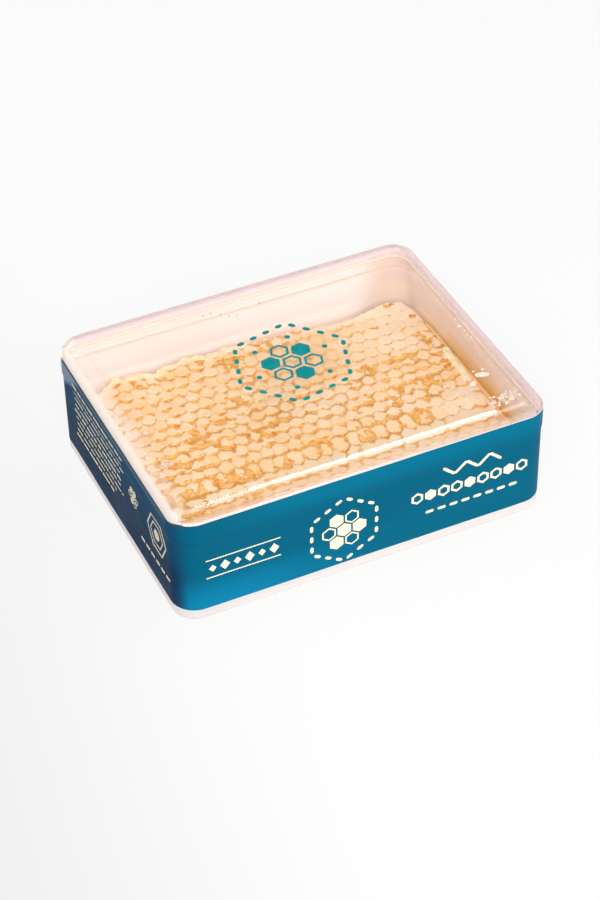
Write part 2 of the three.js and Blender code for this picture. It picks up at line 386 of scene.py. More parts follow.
def band_inside():
    m = Mat("band_back")
    x, y, z = m.xyz()
    colour = m.mix(m.span(m.noise(30.0, 3.0), 0.3, 0.7), (0.728, 0.672, 0.645), (0.716, 0.656, 0.620))
    # Towards the back right corner and down the right wall it is tinted tan: partly a honey film, partly painted shade
    # and warm light bounced from the comb.
    right_ = m.times(m.span(x, 0.0575, 0.0635), m.span(z, 0.037, 0.022, 0.05, 1.0))
    corner = m.times(m.span(x, 0.030, 0.062), 0.38)
    cloud = m.span(m.noise(38.0, 3.0), 0.3, 0.7, 0.75, 1.0)
    colour = m.mix(m.times(m.most(right_, corner), cloud), colour, srgb(237, 214, 197))
    # It is whitest low behind the slab, where painted light lifts the shade of the narrow gap; deep tan low at the
    # right, partly honey and partly painted shade; and dull above the tray's edge.
    low = m.span(z, 0.0285, 0.0215)
    at_back = m.span(y, 0.040, 0.046)
    along = m.span(x, -0.030, 0.012)
    high_c = m.mix(along, (0.730, 0.690, 0.664), (0.740, 0.738, 0.738))
    low_c = m.mix(along, (0.745, 0.685, 0.650), (0.760, 0.738, 0.712))
    colour = m.mix(m.times(at_back, m.span(x, 0.054, 0.044), m.span(x, -0.060, -0.046)), colour, m.mix(low, high_c, low_c))
    # Painted shade: darker tan low in the back right corner.
    tan = m.mix(m.span(z, 0.0290, 0.0230), (0.670, 0.560, 0.505), (0.760, 0.640, 0.530))
    colour = m.mix(m.times(at_back, m.span(x, 0.048, 0.058)), colour, tan)
    # Painted light: lighter still just behind the slab's back edge, where the gap shades the wall.
    behind = m.most(at_back, m.span(x, -0.060, -0.063))
    colour = m.mix(m.times(m.span(z, 0.0226, 0.0192), behind, m.span(x, 0.052, 0.042)), colour, (0.93, 0.845, 0.79))
    # Low on the right wall: amber, partly honey tint and partly painted shade.
    right_foot = m.span(x, 0.060, 0.063)
    colour = m.mix(m.times(low, right_foot, m.span(y, -0.044, -0.036, 0.0, 0.7), m.span(y, 0.034, 0.010, 0.2, 1.0)),
                   colour, (0.94, 0.745, 0.51))
    # Painted light: at the very foot of the right wall, lifting the shade next to the slab.
    colour = m.mix(m.times(right_foot, m.span(z, 0.0246, 0.0212), m.span(y, 0.041, 0.033)), colour,
                   m.mix(m.span(y, 0.006, 0.028), (1.0, 0.84, 0.60), (1.0, 0.90, 0.79)))
    colour = m.mix(m.span(z, 0.0370, 0.0380), colour, srgb(232, 215, 208))
    p = m.principled(Base_Color=colour, Roughness=0.6, Specular_IOR_Level=0.3,
                     Normal=m.bump(m.noise(500.0, 2.0), 0.05, 0.0002))
    return m.shader(p.outputs[0])


def ink(name, a, b, shine=0.2):
    m = Mat(name)
    colour = m.mix(m.span(m.noise(260.0, 4.0, 0.6), 0.35, 0.7), a, b)
    p = m.principled(Base_Color=colour, Roughness=0.5, Specular_IOR_Level=shine)
    return m.shader(p.outputs[0])


def comb_material():
    m = Mat("beeswax")
    cap, yellow, pale, froth, crease = m.attr("cap"), m.attr("yellow"), m.attr("pale"), m.attr("froth"), m.attr("crease")
    E, V = 1.36, 0.012
    # The caps end in a torn edge, finer than the mesh.
    torn = m.maths("MULTIPLY_ADD", m.maths("SUBTRACT", m.noise(1300.0, 4.0, 0.68), 0.5), 0.85, cap)
    cap = m.span(torn, 0.43, 0.54)
    # Honey-wet hollows: deep amber with lighter waxy flecks and streaks.
    depth = m.noise(420.0, 5.0, 0.72)
    amber = m.mix(m.span(depth, 0.36, 0.62), under(E, 216, 134, 34, V), under(E, 242, 184, 102, V))
    flecks = m.span(m.noise(1350.0, 3.0, 0.7), 0.52, 0.62)
    amber = m.mix(m.times(flecks, m.maths("MULTIPLY_ADD", froth, 0.45, 0.45)), amber, under(E, 252, 214, 156, V))
    # Dry caps: pale wax, a little darker and warmer in patches, with fine crumbs and pits.
    tone = m.noise(110.0, 4.0, 0.6)
    wax = m.mix(m.span(tone, 0.3, 0.75), under(E, 249, 206, 155, V), under(E, 252, 220, 181, V))
    wax = m.mix(m.times(m.span(m.noise(420.0, 3.0, 0.6), 0.55, 0.8), 0.30), wax, under(E, 246, 194, 134, V))
    grain = m.noise(1500.0, 3.0, 0.7)
    wax = m.mix(m.times(m.span(grain, 0.54, 0.68), 0.30), wax, under(E, 242, 186, 124, V))
    wax = m.mix(m.times(m.span(grain, 0.46, 0.34), 0.35), wax, under(E, 255, 234, 204, V))
    # Painted shade: the joints between caps and the caps' rims are darker and warmer, shade glowing amber through the
    # wax.
    wax = m.mix(m.times(crease, 0.60), wax, under(E, 240, 178, 106, V))
    wax = m.mix(m.span(torn, 0.78, 0.50, 0.0, 0.25), wax, under(E, 242, 188, 124, V))
    wax = m.mix(pale, wax, under(E, 253, 231, 207, V))
    wax = m.mix(yellow, wax, under(E, 254, 237, 190, V))
    colour = m.mix(cap, amber, wax)
    # Small bubbles in the smeared wax: a dark ring of painted shade with a painted highlight in the middle.
    bubbles = m.node("ShaderNodeTexVoronoi", feature="F1", voronoi_dimensions="3D")
    m.put(bubbles.inputs["Vector"], m.where())
    bubbles.inputs["Scale"].default_value = 440.0
    gap = bubbles.outputs["Distance"]
    here = m.times(m.span(froth, 0.35, 0.8), m.span(m.noise(300.0, 2.0), 0.42, 0.58))
    ring_ = m.times(m.span(gap, 0.20, 0.27), m.span(gap, 0.38, 0.30), here)
    colour = m.mix(m.times(ring_, 0.65), colour, under(E, 236, 178, 108, V))
    colour = m.mix(m.times(m.span(gap, 0.16, 0.08), here, 0.7), colour, under(E, 255, 240, 214, V))
    # The underside and the cut sides show cells full of honey between thin walls.
    x, y, z = m.xyz()
    cells = m.node("ShaderNodeTexVoronoi", feature="DISTANCE_TO_EDGE", voronoi_dimensions="2D")
    m.put(cells.inputs["Vector"], m.where())
    cells.inputs["Scale"].default_value = 205.0
    cells.inputs["Randomness"].default_value = 0.35
    below = m.mix(m.span(cells.outputs["Distance"], 0.05, 0.16), under(E, 252, 216, 160, V), amber)
    colour = m.mix(m.span(z, 0.0026, 0.0020), colour, below)
    rough = m.span(cap, 0.2, 0.8, 0.40, 0.58)
    fine = m.bump(m.noise(700.0, 4.0, 0.6), 0.20, 0.0003)
    normal = m.bump(m.noise(2400.0, 2.0, 0.5), 0.10, 0.0002, fine)
    p = m.principled(Base_Color=colour, Roughness=rough, IOR=1.44, Specular_IOR_Level=0.10,
                     Subsurface_Weight=0.12, Subsurface_Radius=(1.0, 0.7, 0.35), Subsurface_Scale=0.0012,
                     Normal=normal)
    return m.shader(p.outputs[0])


def honey_material():
    m = Mat("honey")
    depth = m.span(m.noise(90.0, 3.0), 0.3, 0.7)
    colour = m.mix(depth, under(1.15, 234, 182, 122), under(1.15, 243, 202, 150))
    p = m.principled(Base_Color=colour, Roughness=0.12, IOR=1.49, Specular_IOR_Level=0.4,
                     Subsurface_Weight=0.4, Subsurface_Radius=(1.0, 0.6, 0.25), Subsurface_Scale=0.002,
                     Normal=m.bump(m.noise(120.0, 2.0), 0.1, 0.0005))
    return m.shader(p.outputs[0])


def film_material():
    """A thin film of honey on the wall, thinner upwards."""
    m = Mat("honey_film")
    thick = m.attr("thick")
    thick = m.times(thick, m.span(m.noise(120.0, 4.0), 0.25, 0.75, 0.55, 1.0))
    colour = m.mix(thick, (0.995, 0.99, 0.985, 1), srgb(244, 224, 176))
    p = m.principled(Base_Color=colour, Roughness=0.08, IOR=1.06, Transmission_Weight=1.0)
    return m.lamps_through(p.outputs[0], colour)


def drop_material(name, white):
    m = Mat(name)
    rough = m.span(m.noise(500.0, 2.0), 0.4, 0.8, 0.0, 0.04)
    p = m.principled(Base_Color=(0.99, 0.98, 0.96), Roughness=rough, IOR=1.36, Transmission_Weight=1.0)
    # The milky share makes clear drops show bright: painted highlights; at full share it is white froth.
    milky = m.haze(srgb(255, 250, 244))
    amount = m.span(m.noise(700.0, 3.0), 0.3, 0.7, 0.5 * white, white)
    return m.lamps_through(m.blend(amount, p.outputs[0], milky), (0.99, 0.98, 0.97))


tray_mat = clear_plastic("tray_plastic", (0.995, 0.985, 0.985), 1.12)
lid_mat = clear_plastic("lid_plastic", (0.995, 0.985, 0.985), 1.22, lid=True)
roll_mat = clear_plastic("roll_plastic", (0.995, 0.985, 0.985), 1.22, lid=True, dull=0.10)
band_mat, back_mat = band_outside(), band_inside()
cream_mat = ink("cream_ink", srgb(226, 214, 184), srgb(236, 226, 198))
teal_mat = ink("teal_ink", srgb(0, 116, 120), srgb(2, 130, 134), 0.03)
comb_mat, honey_mat, film_mat = comb_material(), honey_material(), film_material()
drop_mat, white_mat = drop_material("drops", 0.16), drop_material("froth", 1.0)


# ------------------------------------------------------------------ camera
camera = bpy.data.objects.new("camera", bpy.data.cameras.new("camera"))
bpy.context.scene.collection.objects.link(camera)
right = (0.90377903, -0.42775851, -0.01435687)
up = (0.28670916, 0.58017934, 0.76235805)
back = (-0.31777558, -0.69311946, 0.6469962)
eye = (-0.25044574, -0.54673285, 0.51918958)
camera.matrix_world = Matrix([[right[i], up[i], back[i], eye[i]] for i in range(3)] + [[0, 0, 0, 1]])
camera.data.sensor_width = 36.0
camera.data.sensor_fit = "AUTO"
camera.data.lens = 95.283
camera.data.clip_start = 0.01
camera.data.clip_end = 20.0
bpy.context.scene.camera = camera

# ------------------------------------------------------------------ tray
floor_inset = RIM_INNER_INSET + WALL_DRAFT
tray_rings = [
    ring(FOOT_INSET + FOOT_R + 0.05, 0.0),
    *arc(lambda a: FOOT_INSET + FOOT_R * (1 - math.sin(a)), lambda a: FOOT_R * (1 - math.cos(a)), 8),
    ring(FOOT_INSET, FOOT_R + 0.05),
    ring(FOOT_INSET, FOOT_TOP - 0.40),
    ring(FOOT_INSET, FOOT_TOP - 0.30),
    ring(FOOT_INSET + 0.08, FOOT_TOP - 0.08),
    ring(FOOT_INSET + 0.25, FOOT_TOP),
    ring(TRAY_INSET, FOOT_TOP),
    ring(TRAY_INSET, SEAM_Z - 0.2),
    ring(RIM_OUTER_INSET, SEAM_Z - 0.2),
    ring(RIM_OUTER_INSET, RIM_TOP - 0.35),
    ring(RIM_OUTER_INSET, RIM_TOP - 0.25),
    ring(RIM_OUTER_INSET + 0.08, RIM_TOP - 0.07),
    ring(RIM_OUTER_INSET + 0.25, RIM_TOP),
    ring(RIM_INNER_INSET - 0.25, RIM_TOP),
    ring(RIM_INNER_INSET - 0.08, RIM_TOP - 0.07),
    ring(RIM_INNER_INSET, RIM_TOP - 0.25),
    ring(RIM_INNER_INSET + 0.001, RIM_TOP - 0.35),
    ring(floor_inset, FLOOR_T + FLOOR_R + 0.05),
    *arc(lambda a: floor_inset + FLOOR_R * (1 - math.cos(a)), lambda a: FLOOR_T + FLOOR_R * (1 - math.sin(a)), 6),
    ring(floor_inset + FLOOR_R + 0.05, FLOOR_T),
]
tray = make("clear_tray", *loft(tray_rings), tray_mat, "tray_plastic")
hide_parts("box_base")

# ------------------------------------------------------------------ lid
skirt = LID_INSET + LID_SKIRT_T
lid_rings = [
    ring(skirt + LID_INNER_A + 0.05, CEILING),
    *arc(lambda a: skirt + LID_INNER_A * (1 - math.sin(a)), lambda a: CEILING - LID_INNER_B * (1 - math.cos(a)), 12),
    ring(skirt, CEILING - LID_INNER_B - 0.1),
    ring(skirt, SEAM_Z + 0.2),
    ring(LID_INSET, SEAM_Z + 0.2),
    ring(LID_INSET, HEIGHT - LID_RIM_B - 0.05),
    *arc(lambda a: LID_INSET + LID_RIM_A * (1 - math.cos(a)), lambda a: HEIGHT - LID_RIM_B * (1 - math.sin(a)), 18),
    ring(LID_INSET + LID_RIM_A + 0.05, HEIGHT),
]
lid_v, lid_f = loft(lid_rings)


def inner_roll(f):
    """The inside of the front roll is duller than the rest."""
    x, y, z = lid_v[list(f)].mean(0)
    return int(len(f) == 4 and y < -40 and CEILING - LID_INNER_B - 0.15 < z < CEILING + 0.02)


lid = make("clear_lid", lid_v, lid_f, None, "lid_plastic", mats=[lid_mat, roll_mat],
           mat_index=[inner_roll(f) for f in lid_f])
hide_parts("box_lid")


# ------------------------------------------------------------------ wrap band
def step_in(z):
    """The band steps in by a little below the lid's skirt."""
    return BAND_STEP * (1 - smooth(SEAM_Z - 0.9, SEAM_Z + 0.9, z))


def film_lift(along, z, room):
    """The film lies slightly uneven: it bows a little between the corners."""
    lift = 0.07 * noise(along / 21.0, z / 9.0, 5) + 0.05 * noise(along / 9.0, z / 3.2, 6)
    return np.minimum(lift, 0.10) * smooth(0, 6, room)


def band_profile(outer):
    """Insets and heights up the band's wall."""
    t = 0.0 if outer else BAND_T
    zs = [BAND_BOTTOM + (SEAM_Z - 0.9 - BAND_BOTTOM) * i / 18 for i in range(19)]
    zs += [SEAM_Z - 0.9 + 1.8 * i / 7 for i in range(1, 7)]
    zs += [SEAM_Z + 0.9 + (BAND_TOP - SEAM_Z - 0.9) * i / 6 for i in range(7)]
    return [(float(step_in(z)) + t, z) for z in zs]


def band_rings():
    rings = [ring(i, z, steps=12, fill=44) for i, z in band_profile(True)]
    rings += [ring(i, z, steps=12, fill=44) for i, z in reversed(band_profile(False))]
    for r in rings:
        x, y, z = r[:, 0], r[:, 1], r[:, 2]
        flat_y = np.abs(y) > WIDTH / 2 - 1.2
        flat_x = np.abs(x) > LENGTH / 2 - 1.2
        y += np.sign(y) * film_lift(x, z, LENGTH / 2 - CORNER_R - np.abs(x)) * flat_y
        x += np.sign(x) * film_lift(y + 200.0, z, WIDTH / 2 - CORNER_R - np.abs(y)) * flat_x
        # Its top edge sits a little lower along the left.
        low = 1.5 * smooth(-60.0, -64.4, x) * smooth(50.5, 43.0, np.abs(y))
        z -= low * np.clip((z - SEAM_Z - 0.9) / (BAND_TOP - SEAM_Z - 0.9), 0, 1)
    return rings


band_r = band_rings()
n_ring = len(band_r[0])
n_out = len(band_profile(True))
# On the left the film's top edge leans in to the lid.
lean = smooth(-60.0, -63.5, band_r[n_out][:, 0]) * (np.abs(band_r[n_out][:, 1]) < WIDTH / 2 - 2.5)
band_r[n_out][:, 0] += 0.36 * lean
bv, bf = loft(band_r, closed=True)
index = []
for i in range(len(band_r)):
    index += [0 if i < n_out - 1 or (i == n_out - 1 and lean[j] > 0.5) else 1 for j in range(n_ring)]
band = make("wrap_band_film", bv, bf, None, "printed_band", mats=[band_mat, back_mat], mat_index=index, sharp=50)
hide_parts("wrap_band")


# ------------------------------------------------------------------ print: plain shapes, a hair proud of the film
def on_front(u, v, d):
    y = WIDTH / 2 - step_in(v) + film_lift(u, v, LENGTH / 2 - CORNER_R - np.abs(u)) + d
    return np.stack([u, -y, v], 1)


def on_left(u, v, d):
    x = LENGTH / 2 - step_in(v) + film_lift(-u + 200.0, v, WIDTH / 2 - CORNER_R - np.abs(u)) + d
    return np.stack([-x, -u, v], 1)


def on_lid(u, v, d):
    return np.stack([u, v, HEIGHT + d], 1)


class Print:
    """Flat shapes gathered into one mesh of thin closed plates."""

    def __init__(self, place, proud=0.05, sunk=0.07):
        self.place, self.proud, self.sunk = place, proud, sunk
        self.verts, self.faces, self.count = [], [], 0

    def add(self, uv, faces):
        uv = np.asarray(uv, float)
        n = len(uv)
        for d in (self.proud, -self.sunk):
            self.verts.append(self.place(uv[:, 0], uv[:, 1], np.full(n, d)))
        top, low = self.count, self.count + n
        edges = {(f[i], f[(i + 1) % len(f)]) for f in faces for i in range(len(f))}
        self.faces += [tuple(top + i for i in f) for f in faces]
        self.faces += [tuple(low + i for i in reversed(f)) for f in faces]
        self.faces += [(low + a, low + b, top + b, top + a) for a, b in sorted(edges) if (b, a) not in edges]
        self.count += 2 * n

    def plate(self, points):
        self.add(points, [tuple(range(len(points)))])

    def outline(self, points, width):
        """A frame of even width just inside a convex outline."""
        p = np.asarray(points, float)
        n = len(p)
        inner = []
        for i in range(n):
            d1 = p[i] - p[i - 1]
            d2 = p[(i + 1) % n] - p[i]
            d1, d2 = d1 / np.hypot(*d1), d2 / np.hypot(*d2)
            n1, n2 = np.array([-d1[1], d1[0]]), np.array([-d2[1], d2[0]])
            inner.append(p[i] + (n1 + n2) / (1 + n1 @ n2) * width)
        self.add(np.concatenate([p, inner]), [(i, (i + 1) % n, n + (i + 1) % n, n + i) for i in range(n)])

    def bar(self, u0, v0, u1, v1, width, cut=0.0):
        """A straight bar, with its ends cut to points of length cut."""
        a, b = np.array([u0, v0], float), np.array([u1, v1], float)
        length = np.hypot(*(b - a))
        t = (b - a) / length
        s = np.array([-t[1], t[0]]) * width / 2
        steps = max(1, int(length / 2.5))
        uv, faces = [], []
        for i in range(steps + 1):
            at = a + t * (cut + (length - 2 * cut) * i / steps)
            uv += [at - s, at + s]
        for i in range(steps):
            faces.append((2 * i, 2 * i + 2, 2 * i + 3, 2 * i + 1))
        if cut:
            uv += [a, b]
            k = 2 * steps
            faces.append((len(uv) - 2, 0, 1))
            faces.append((k, len(uv) - 1, k + 1))
        self.add(uv, faces)

    def finish(self, name, material, slot):
        return make(name, np.concatenate(self.verts), self.faces, material, slot, smooth_faces=False)


def hexagon(cx, cy, r, turn=30.0):
    return [(cx + r * math.cos(math.radians(turn + 60 * i)), cy + r * math.sin(math.radians(turn + 60 * i))) for i in range(6)]


def lozenge(cx, cy, w, h):
    return [(cx - w / 2, cy), (cx, cy - h / 2), (cx + w / 2, cy), (cx, cy + h / 2)]


def dashed_hexagon(pr, cx, cy, r, turn, per_side, width, gap, cut=0.0):
    h = hexagon(cx, cy, r, turn)
    for i in range(6):
        a, b = np.array(h[i]), np.array(h[(i + 1) % 6])
        for k in range(per_side):
            p, q = a + (b - a) * (k + gap) / per_side, a + (b - a) * (k + 1 - gap) / per_side
            pr.bar(p[0], p[1], q[0], q[1], width, cut)


def cell_group(pr, cx, cy, r, pitch, turn, solid, width=0.5):
    """A centre cell with six round it; some are filled in."""
    spots = [(cx, cy)] + [(cx + pitch * math.cos(math.radians(turn + 30 + 60 * i)),
                           cy + pitch * math.sin(math.radians(turn + 30 + 60 * i))) for i in range(6)]
    for i, (px, py) in enumerate(spots):
        if i in solid:
            pr.plate(hexagon(px, py, r, turn))
        else:
            pr.outline(hexagon(px, py, r, turn), width)


# Lid: a hexagon of dashes with a group of cells in it, in teal.
top_print = Print(on_lid, 0.04, 0.10)
dashed_hexagon(top_print, -0.2, 3.8, 20.5, 12.0, 4, 1.5, 0.22, 0.7)
cell_group(top_print, -0.2, 3.8, 3.5, 7.0, 12.0, (1, 3, 5), 0.8)
for k in range(6):
    a = math.radians(12 + 60 * k)
    top_print.plate(hexagon(-0.2 + 13.2 * math.cos(a), 3.8 + 13.2 * math.sin(a), 1.0, 42.0))
top_print.finish("lid_print", teal_mat, "printed_band")

# Front of the band: rules with lozenges, a hexagon of dashes with cells, then rows of plain shapes, in cream.
front_print = Print(on_front)
front_print.bar(-55.6, 24.2, -30.5, 24.2, 0.4)
front_print.bar(-55.6, 17.0, -30.5, 17.0, 0.4)
for k in range(6):
    front_print.plate(lozenge(-53.4 + 4.15 * k, 20.6, 3.3 if k % 2 else 2.5, 4.0 if k % 2 else 2.8))
dashed_hexagon(front_print, -8.6, 18.6, 13.0, 30.0, 3, 1.1, 0.2, 0.5)
cell_group(front_print, -8.6, 18.6, 2.7, 5.3, 30.0, (0, 2, 4, 6), 0.5)
for k in range(5):
    front_print.bar(26.0 + 4.2 * k, 27.0 if k % 2 else 30.6, 30.2 + 4.2 * k, 30.6 if k % 2 else 27.0, 1.0, 0.4)
for k in range(9):
    if k % 3 == 1:
        front_print.plate(hexagon(17.0 + 4.7 * k, 21.4, 2.2))
    else:
        front_print.outline(hexagon(17.0 + 4.7 * k, 21.4, 2.35), 0.75)
for k in range(8):
    front_print.bar(20.0 + 4.3 * k, 14.4, 23.1 + 4.3 * k, 14.4, 1.1, 0.4)
front_print.finish("front_print", cream_mat, "printed_band")

# Left side of the band: thin broken lines, cells and a hexagon badge.
side_print = Print(on_left)
for row in range(9):
    z = 35.0 - 2.6 * row
    u = -35.0 + (1.0 if row % 4 else 0.0)
    end = 2.0 + 6.0 * float(hashed(row, 3, 7)) - (6.0 if row > 6 else 0.0)
    k = 0
    while u < end:
        run = 2.2 + 5.5 * float(hashed(k, row, 8))
        side_print.bar(u, z, min(u + run, end + 1.0), z, 0.55 if row % 4 else 0.8)
        u += run + 0.9
        k += 1
cell_group(side_print, 15.5, 25.5, 1.25, 2.6, 30.0, (0, 1, 2, 4), 0.35)
side_print.outline(hexagon(34.5, 25.0, 7.6, 0.0), 0.6)
side_print.outline(hexagon(34.5, 25.0, 5.0, 0.0), 0.45)
side_print.plate(hexagon(34.5, 25.0, 2.2, 0.0))
for k in range(6):
    side_print.bar(20.5 + 4.0 * k, 13.2, 23.6 + 4.0 * k, 13.2, 1.0, 0.3)
side_print.finish("side_print", cream_mat, "printed_band")


# ------------------------------------------------------------------ comb
# Where the rows of cells really lie, against an even lattice: y, and how far a row is off.
ROW_Y = (-50.0, -24.0, -20.2, -13.4, -11.0, -2.0, 3.0, 8.0, 16.0, 26.0, 36.0, 46.0)
ROW_SLIP = (-1.5, -1.5, -1.66, 0.42, 0.66, 0.8, 0.8, 0.45, -0.1, -0.5, -0.1, 0.1)
# Wet patches where caps are torn away: x, y and half sizes.
WET = ((-34, 6, 4.2, 3.8), (-43.5, -5.5, 4.0, 1.8), (-27, -3, 2.8, 1.8), (45, 14, 6.0, 2.0), (33, -5.5, 3.2, 3.0),
       (35.5, -16.5, 2.4, 3.4), (16.0, -17.5, 3.0, 2.4), (24, -2.5, 2.4, 2.0), (47, -0.5, 4.2, 2.8), (-31, -17.5, 9.0, 3.6),
       (-47, -18.5, 6.5, 3.2), (-12.5, -18.5, 2.0, 2.6), (32, 13, 3.0, 3.0), (38, -0.5, 3.0, 1.8), (-51, -9, 2.6, 1.5),
       (-14, 18, 1.8, 2.6), (-39, 14, 1.6, 2.2), (-22, 9.5, 3.0, 1.6), (3, -12.5, 1.6, 1.8), (57, 4, 1.6, 3.5),
       (-8, 2.5, 2.4, 1.4), (6, 10, 3.0, 1.6), (44, -9.5, 2.4, 2.0), (-36, -9.5, 3.0, 1.2), (-41, -30, 12.0, 3.2),
       (-49, -27, 4.0, 2.0), (-9, 38, 3.6, 4.2), (58, 33, 1.8, 1.6), (56.5, 19, 2.0, 4.0), (54.5, 42, 3.0, 0.9),
       (-32.5, 40, 3.0, 1.1))
# The torn back edge of the slab, left to right.
CREST = ((-61.4, 35.0), (-53.7, 41.0), (-51.0, 43.2), (-47.5, 45.4), (-41.4, 45.1), (-36.8, 44.0), (-32.7, 43.3), (-28.3, 45.2),
         (-23.3, 45.0), (-21.4, 46.4), (-16.2, 45.4), (-11.1, 44.2), (-8.8, 45.0), (-3.7, 44.9), (4.0, 43.3), (17.2, 43.8),
         (31.2, 41.0), (33.8, 40.7), (39.1, 40.9), (44.8, 41.9), (50.8, 43.2), (54.8, 43.4), (60.2, 42.0), (61.5, 41.0))


def comb_back(x):
    rag = 0.40 * fbm(x / 3.1, x * 0 + 2.0, 61, 3) + 0.50 * fbm(x / 1.4, x * 0 + 5.0, 68, 3)
    # Here and there a thin tuft of wax sticks up.
    tuft = np.maximum(noise(x / 1.9, x * 0 + 9.0, 69) - 0.45, 0)
    return np.interp(x, *zip(*CREST)) + rag + 1.6 * tuft


def comb_right(y):
    line = 61.15 + 0.35 * fbm(y / 6.0, y * 0 + 7.0, 62, 3) + 0.30 * fbm(y / 1.9, y * 0 + 8.0, 60, 2) + 0.25 * blob(y, y * 0, 6.0, 0.0, 12.0, 1.0)
    return line - 1.3 * smooth(35.0, 42.0, y)


def amount_of_amber(x, y):
    """How wide the wet hollows between the caps run, 0..1, in the parts of the slab."""
    a = 0.70 + 0.25 * fbm(x / 12.0, y / 8.0, 41, 2) + 0.20 * smooth(-12, -24, y) * smooth(10, -30, x)
    a = a - 0.20 * blob(x, y, -32, 33, 34, 13)
    a = a - 0.44 * blob(x, y, 46, 31, 30, 17)
    a = a - 0.30 * blob(x, y, -57, 10, 6, 60)
    a = a + 0.16 * blob(x, y, -34, 0, 28, 14)
    a = a + 0.05 * smooth(-14, -24, y) * smooth(-5, -30, x)
    return np.clip(a, 0.0, 1.0)


def comb_top(x, y):
    """Height in mm and finish of the slab's upper face."""
    slip = np.interp(y, ROW_Y, ROW_SLIP)
    X = x - 0.45 * noise(x / 13.0, y / 9.0, 3)
    Y = y - slip - 0.30 * noise(x / 15.0, y / 12.0, 4)
    j0 = np.rint((Y - SHIFT_Y) / ROW).astype(np.int64)
    cand = []
    for dj in (-1, 0, 1):
        j = j0 + dj
        sh = SHIFT_X + (j & 1) * PITCH / 2
        i0 = np.rint((X - sh) / PITCH).astype(np.int64)
        for di in (-1, 0, 1):
            i = i0 + di
            cx = sh + PITCH * i + 0.66 * (2 * hashed(i, j, 11) - 1)
            cy = SHIFT_Y + ROW * j + 0.42 * (2 * hashed(i, j, 12) - 1)
            cand.append((cx, cy, i, j))
    cx, cy, ci, cj = (np.stack([c[k] for c in cand]) for k in range(4))
    d2 = (X - cx) ** 2 + (Y - cy) ** 2
    best = d2.argmin(0)[None]
    take = lambda a: np.take_along_axis(a, best, 0)[0]
    bx, by, bi, bj, bd = take(cx), take(cy), take(ci), take(cj), take(d2)
    apart = np.hypot(cx - bx, cy - by)
    edge = np.where(apart < 1e-6, 99.0, (d2 - bd) / (2 * np.maximum(apart, 1e-6)))
    side = np.where(cj == bj, edge, 99.0)
    row = np.where(cj != bj, edge, 99.0)
    e_side, e_row = side.min(0), row.min(0)
    ks = side.argmin(0)[None]
    other = np.take_along_axis(ci, ks, 0)[0]
    pair = np.minimum(other, bi)
    A = amount_of_amber(x, y)
    rag = 0.85 * fbm(x / 1.5, y / 1.0, 21, 3) + 0.45 * fbm(x / 0.75, y / 0.6, 22, 2)
    rag = rag * (0.50 + 0.65 * A)
    wet = np.zeros_like(x)
    for k, (wx, wy, rx, ry) in enumerate(WET):
        wet = np.maximum(wet, blob(x + 0.8 * noise(x / 2.5, y / 2.5, 81), y + 0.8 * noise(x / 2.5, y / 2.5, 82), wx, wy, rx, ry))
    # The back right and the front right are smeared over with soft wax.
    smear = np.clip(blob(x, y, 52, -15.5, 11, 7) + 0.6 * blob(x, y, 54, 37, 12, 9), 0, 1)

    # Signed distance in from a cap's edge. Caps are rounder where it is wet, and many run together along the rows.
    # Where it is drier the amber is a tapered patch below each cap, and caps touch in between.
    off = np.where(Y < by, np.abs(X - bx), PITCH / 2 - np.abs(X - bx))
    taper = np.clip(1.35 - (off / 1.55) ** 2, -0.8, 1.35)
    round_ = smooth(0.62, 0.92, A)
    size = 3.02 - 0.85 * A + 0.32 * (2 * hashed(bi, bj, 33) - 1) + 0.8 * (1 - round_) * smooth(1.0, 2.1, off)
    w_row = (0.14 + 0.54 * A) * (taper * (1 - round_) + round_) + (0.14 + 0.14 * A) * noise(x / 4.5, y / 3.0, 23)
    s = np.minimum(size - np.sqrt(bd), np.minimum(e_row - w_row, e_side - (0.24 * A - 0.04)))
    share = 0.92 - 0.45 * smooth(-4, 10, x) * (1 - smooth(10, 18, y)) - 0.25 * blob(x, y, -34, -2, 24, 13)
    joined = hashed(pair, bj, 31) < share
    bar = 1.85 - 0.75 * A + 0.25 * noise(x / 3.0, y * 0 + bj * 1.7, 34) - np.abs(Y - (SHIFT_Y + ROW * bj))
    s = np.where(joined, np.maximum(s, bar), s) + rag

    # One row near the front is tall, with pointed tops and wet, streaked lower halves.
    house = bj == -4
    roof = -13.5 - 0.45 * np.abs(X - bx) + 0.5 * (hashed(bi, bj, 36) - 0.5)
    streak = noise(x / 0.6, y / 3.4, 35)
    s_house = np.minimum(np.minimum(2.35 - np.abs(X - bx), roof - y), y + 20.0)
    s_house = s_house - 0.75 * smooth(-16.4, -18.4, y) * (0.35 + 0.9 * streak)
    s = np.where(house, s_house + 0.6 * rag, s)

    s = s - wet * (1.8 + 1.5 * noise(x / 1.3, y / 1.7, 24))
    s = s + 2.0 * smear * smooth(-0.5, 0.2, noise(x / 3.0, y / 2.2, 27))
    chance = hashed(bi, bj, 32)
    s = s - np.where(chance > 0.94, 1.7 * A * (0.6 + noise(x / 1.2, y / 1.2, 25)), 0)
    # Small bites, mostly low on the caps.
    low_side = smooth(0.4, -1.6, Y - by)
    s = s - 1.5 * A * (0.35 + 0.65 * low_side) * smooth(0.25, 0.75, noise(x / 1.9, y / 1.2, 28))
    h = smooth(-0.30, 0.30, s)
    cap = np.clip(0.5 + 0.55 * s, 0, 1)
    crease = (1 - smooth(0.0, 0.50, np.minimum(e_side, e_row) + 0.25 * rag)) * (1 - smear)

